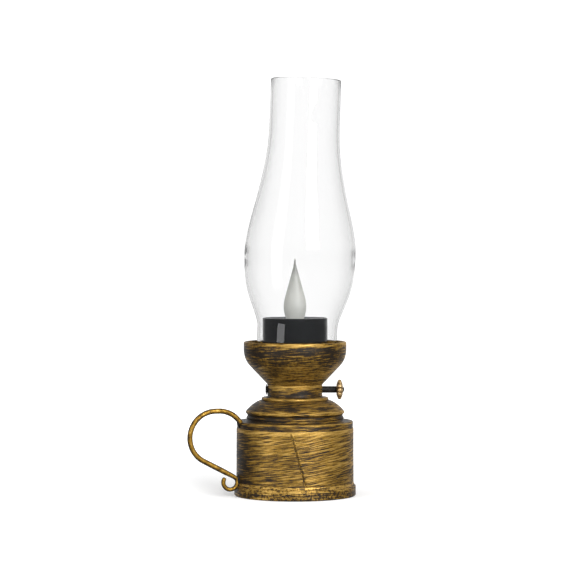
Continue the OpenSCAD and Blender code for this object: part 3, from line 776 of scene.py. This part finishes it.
def handle_line():
    """Middle line of the handle's rod as (u, z, radius), from the curled tail to the drum's top."""
    tail_u, tail_z, tail_r, tail_rod = 38.55, 8.5, 4.1, 1.25
    rod, loop_r, flat = 1.55, 14.9, 2.2
    slope, straight, taper = 27.6, 21.4, 8
    tail_from, tail_to, meet = 384, 150, 143
    end_z = 42.2

    def along(angle, reach):
        return reach * math.cos(math.radians(angle)), reach * math.sin(math.radians(angle))

    def arc(u, z, r, a0, a1, rod_r, steps):
        spots = [along(a0 + (a1 - a0) * k / steps, r) for k in range(steps + 1)]
        return [(u + du, z + dz, rod_r) for du, dz in spots]

    meet_u, meet_z = (a + b for a, b in zip((tail_u, tail_z), along(meet, tail_r)))
    foot_u, foot_z = (a + b for a, b in zip((meet_u, meet_z), along(slope, straight)))
    loop_u, loop_z = (a + b for a, b in zip((foot_u, foot_z), along(slope + 90, loop_r)))
    line = arc(tail_u, tail_z, tail_r, tail_from, tail_to, tail_rod, 40)
    steps = 14
    for k in range(1, steps):
        t = k / steps
        line.append((meet_u + (foot_u - meet_u) * t, meet_z + (foot_z - meet_z) * t,
                     tail_rod + (rod - tail_rod) * min(1, t * straight / taper)))
    line += arc(loop_u, loop_z, loop_r, slope - 90, 90, rod, 48)
    end_angle = 180 - math.degrees(math.asin((end_z - loop_z) / loop_r))
    line += arc(loop_u - flat, loop_z, loop_r, 90, end_angle, rod, 22)
    return line


def tube(path, around=20):
    """A mesh maker that runs a slightly lumpy bar along (point, radius) pairs, with rounded ends."""
    lump_scale, lump_depth = 260, 0.05
    points = [p for p, _ in path]
    side = Vector((0, 0, 1)).cross(points[0] - Vector((0, 0, points[0].z)))
    side.normalize()

    def cross_sections():
        rows = []
        for i, (p, r) in enumerate(path):
            ahead = (points[min(i + 1, len(points) - 1)] - points[max(i - 1, 0)]).normalized()
            rows.append((p, r, ahead))
        angles = [math.radians(t) for t in (80, 60, 40, 20)]

        def cap(row, way):
            p, r, ahead = row
            return [(p + way * ahead * r * math.sin(t), r * math.cos(t), ahead) for t in angles]

        return [*cap(rows[0], -1), *rows, *reversed(cap(rows[-1], 1))]

    def fill(bm):
        wear_and_shading = bm.verts.layers.float.new("wear_and_shading")
        rings = []
        for p, r, ahead in cross_sections():
            up = side.cross(ahead)
            ring = []
            for k in range(around):
                a = 2 * math.pi * k / around
                spot = p + r * (math.cos(a) * side + math.sin(a) * up)
                lump = 0.5 + 0.5 * noise.noise(spot * lump_scale)
                v = bm.verts.new(spot - (spot - p) * lump_depth * lump)
                # Edge tone: gold on the broad sides and black along the edges is rubbed paint; lighter
                # on top and darker underneath is painted shade.
                v[wear_and_shading] = 1.3 * abs(math.cos(a)) - 0.75 + 0.3 * (v.co.z - p.z) / r
                ring.append(v)
            rings.append(ring)
        for low, high in zip(rings, rings[1:]):
            for k in range(around):
                j = (k + 1) % around
                bm.faces.new((low[k], low[j], high[j], high[k]))
        bm.faces.new(rings[0])
        bm.faces.new(list(reversed(rings[-1])))

    return fill


def make_handle(rod_material, weld_material):
    """The rod, and the solder that holds it to the drum near its tail and its end."""
    path = [(on_handle(u, z), r * MM) for u, z, r in handle_line()]
    new_piece("handle_rod", tube(path), rod_material, "lamp", ["handle"])

    def blob(spots):
        return tube([(on_handle(u, z), r * MM) for u, z, r in spots], 18)

    # Each lump's middle line as (u, z, radius), in millimetres
    low = [(33.4, 4.6, 1.0), (33.5, 5.6, 1.25), (33.5, 7.0, 1.4), (33.5, 8.6, 1.5), (33.6, 10.0, 1.6),
           (33.7, 11.0, 1.35), (33.6, 12.0, 0.8)]
    high = [(33.3, 39.6, 0.45), (33.3, 40.4, 0.8), (33.4, 41.2, 1.15), (33.5, 41.8, 1.3)]
    new_piece("handle_weld_low", blob(low), weld_material, "lamp")
    new_piece("handle_weld_high", blob(high), weld_material, "lamp")


make_handle(rod_gold(), black_paint("weld_black"))

gloss = moulded("gloss_black", (0.004, 0.0045, 0.005), rough=0.07, grain_depth=0.00002,
                grain_scale=420.0, mark_scale=380.0, upright=0.08)
matte = moulded("matte_black", (0.014, 0.014, 0.015), rough=0.5, grain_depth=0.00004)


def tealight_part(name, node):
    path = smooth_outline(turned_outline(node), step=0.35 * MM)
    return new_piece(name, lathe(path, 192), gloss, "tealight", [node])


tealight_part("light_case", "tealight_case")
tealight_part("light_dish", "tealight_dish")


def make_flame(material):
    """Hollow flame with a flange under the dish. Its sizes are in millimetres."""
    foot_z, tip_z = foot_of("flame_lens") / MM, top_of("flame_lens") / MM
    flame_h, dish_depth, flange, tip_steps = 33.5, 1.5, 1.3, 12
    rim_z = tip_z - flame_h
    dish_z = rim_z - dish_depth
    foot_r, wide_r, wall, led_r = 4.9, 6.5, 0.9, 1.6
    wide = (wide_r, rim_z + 6.3)
    line = [(foot_r, dish_z)]
    line += cubic(line[0], (foot_r + 0.4, dish_z + 2), (wide_r, wide[1] - 3.4), wide, 18)
    line += cubic(wide, (wide_r, wide[1] + 5.6), (2.6, tip_z - 14), (0.45, tip_z - 0.4), 44)
    inside = []
    for (r, z), (r1, z1) in zip(line[:-tip_steps], line[1:]):
        long = math.hypot(r1 - r, z1 - z)
        inside.append((r - wall * (z1 - z) / long, z + wall * (r1 - r) / long))
    line += [(0.25, tip_z - 0.1), (0, tip_z)]
    inside = [p for p in inside if p[0] > 0.05]
    flange_r, flange_z = foot_r + flange, foot_z + 1
    path = [(led_r, foot_z), (flange_r, foot_z), (flange_r, flange_z), (foot_r, flange_z),
            *line, (0, inside[-1][1] + 0.3), *reversed(inside), (led_r, dish_z)]
    return new_piece("flame", lathe([(r * MM, z * MM) for r, z in path], 96), material,
                     "tealight", ["flame_lens"])


make_flame(milky_silicone())

# ---- Finishes of the solids that stay as they are ----

steel = plated("zinc_steel", (0.60, 0.60, 0.58))
strip = plated("contact_brass", (0.70, 0.58, 0.34))
can = plated("cell_steel", (0.72, 0.72, 0.72), 0.22)
shaft_black = black_paint("shaft_black")
plain_finishes = {
    "base_plate": black_paint("underside_black", rough=0.5),
    "wick_shaft": shaft_black,
    "end_washer": shaft_black,
    "shaft_clip": steel,
    "stem_screw": steel,
    "stem_washer": steel,
    "stem_nut": steel,
    "bottom_cover": matte,
    "battery_door": matte,
    "switch_housing": matte,
    "switch_slider": moulded("slider_plastic", (0.45, 0.45, 0.43), rough=0.45, grain_depth=0.00003),
    "led": clear_epoxy(),
    "coin_cell": can,
    "contact_positive": strip,
    "contact_negative": strip,
}
for node, material in plain_finishes.items():
    data = nodes[node].data
    data.materials.clear()
    data.materials.append(material)
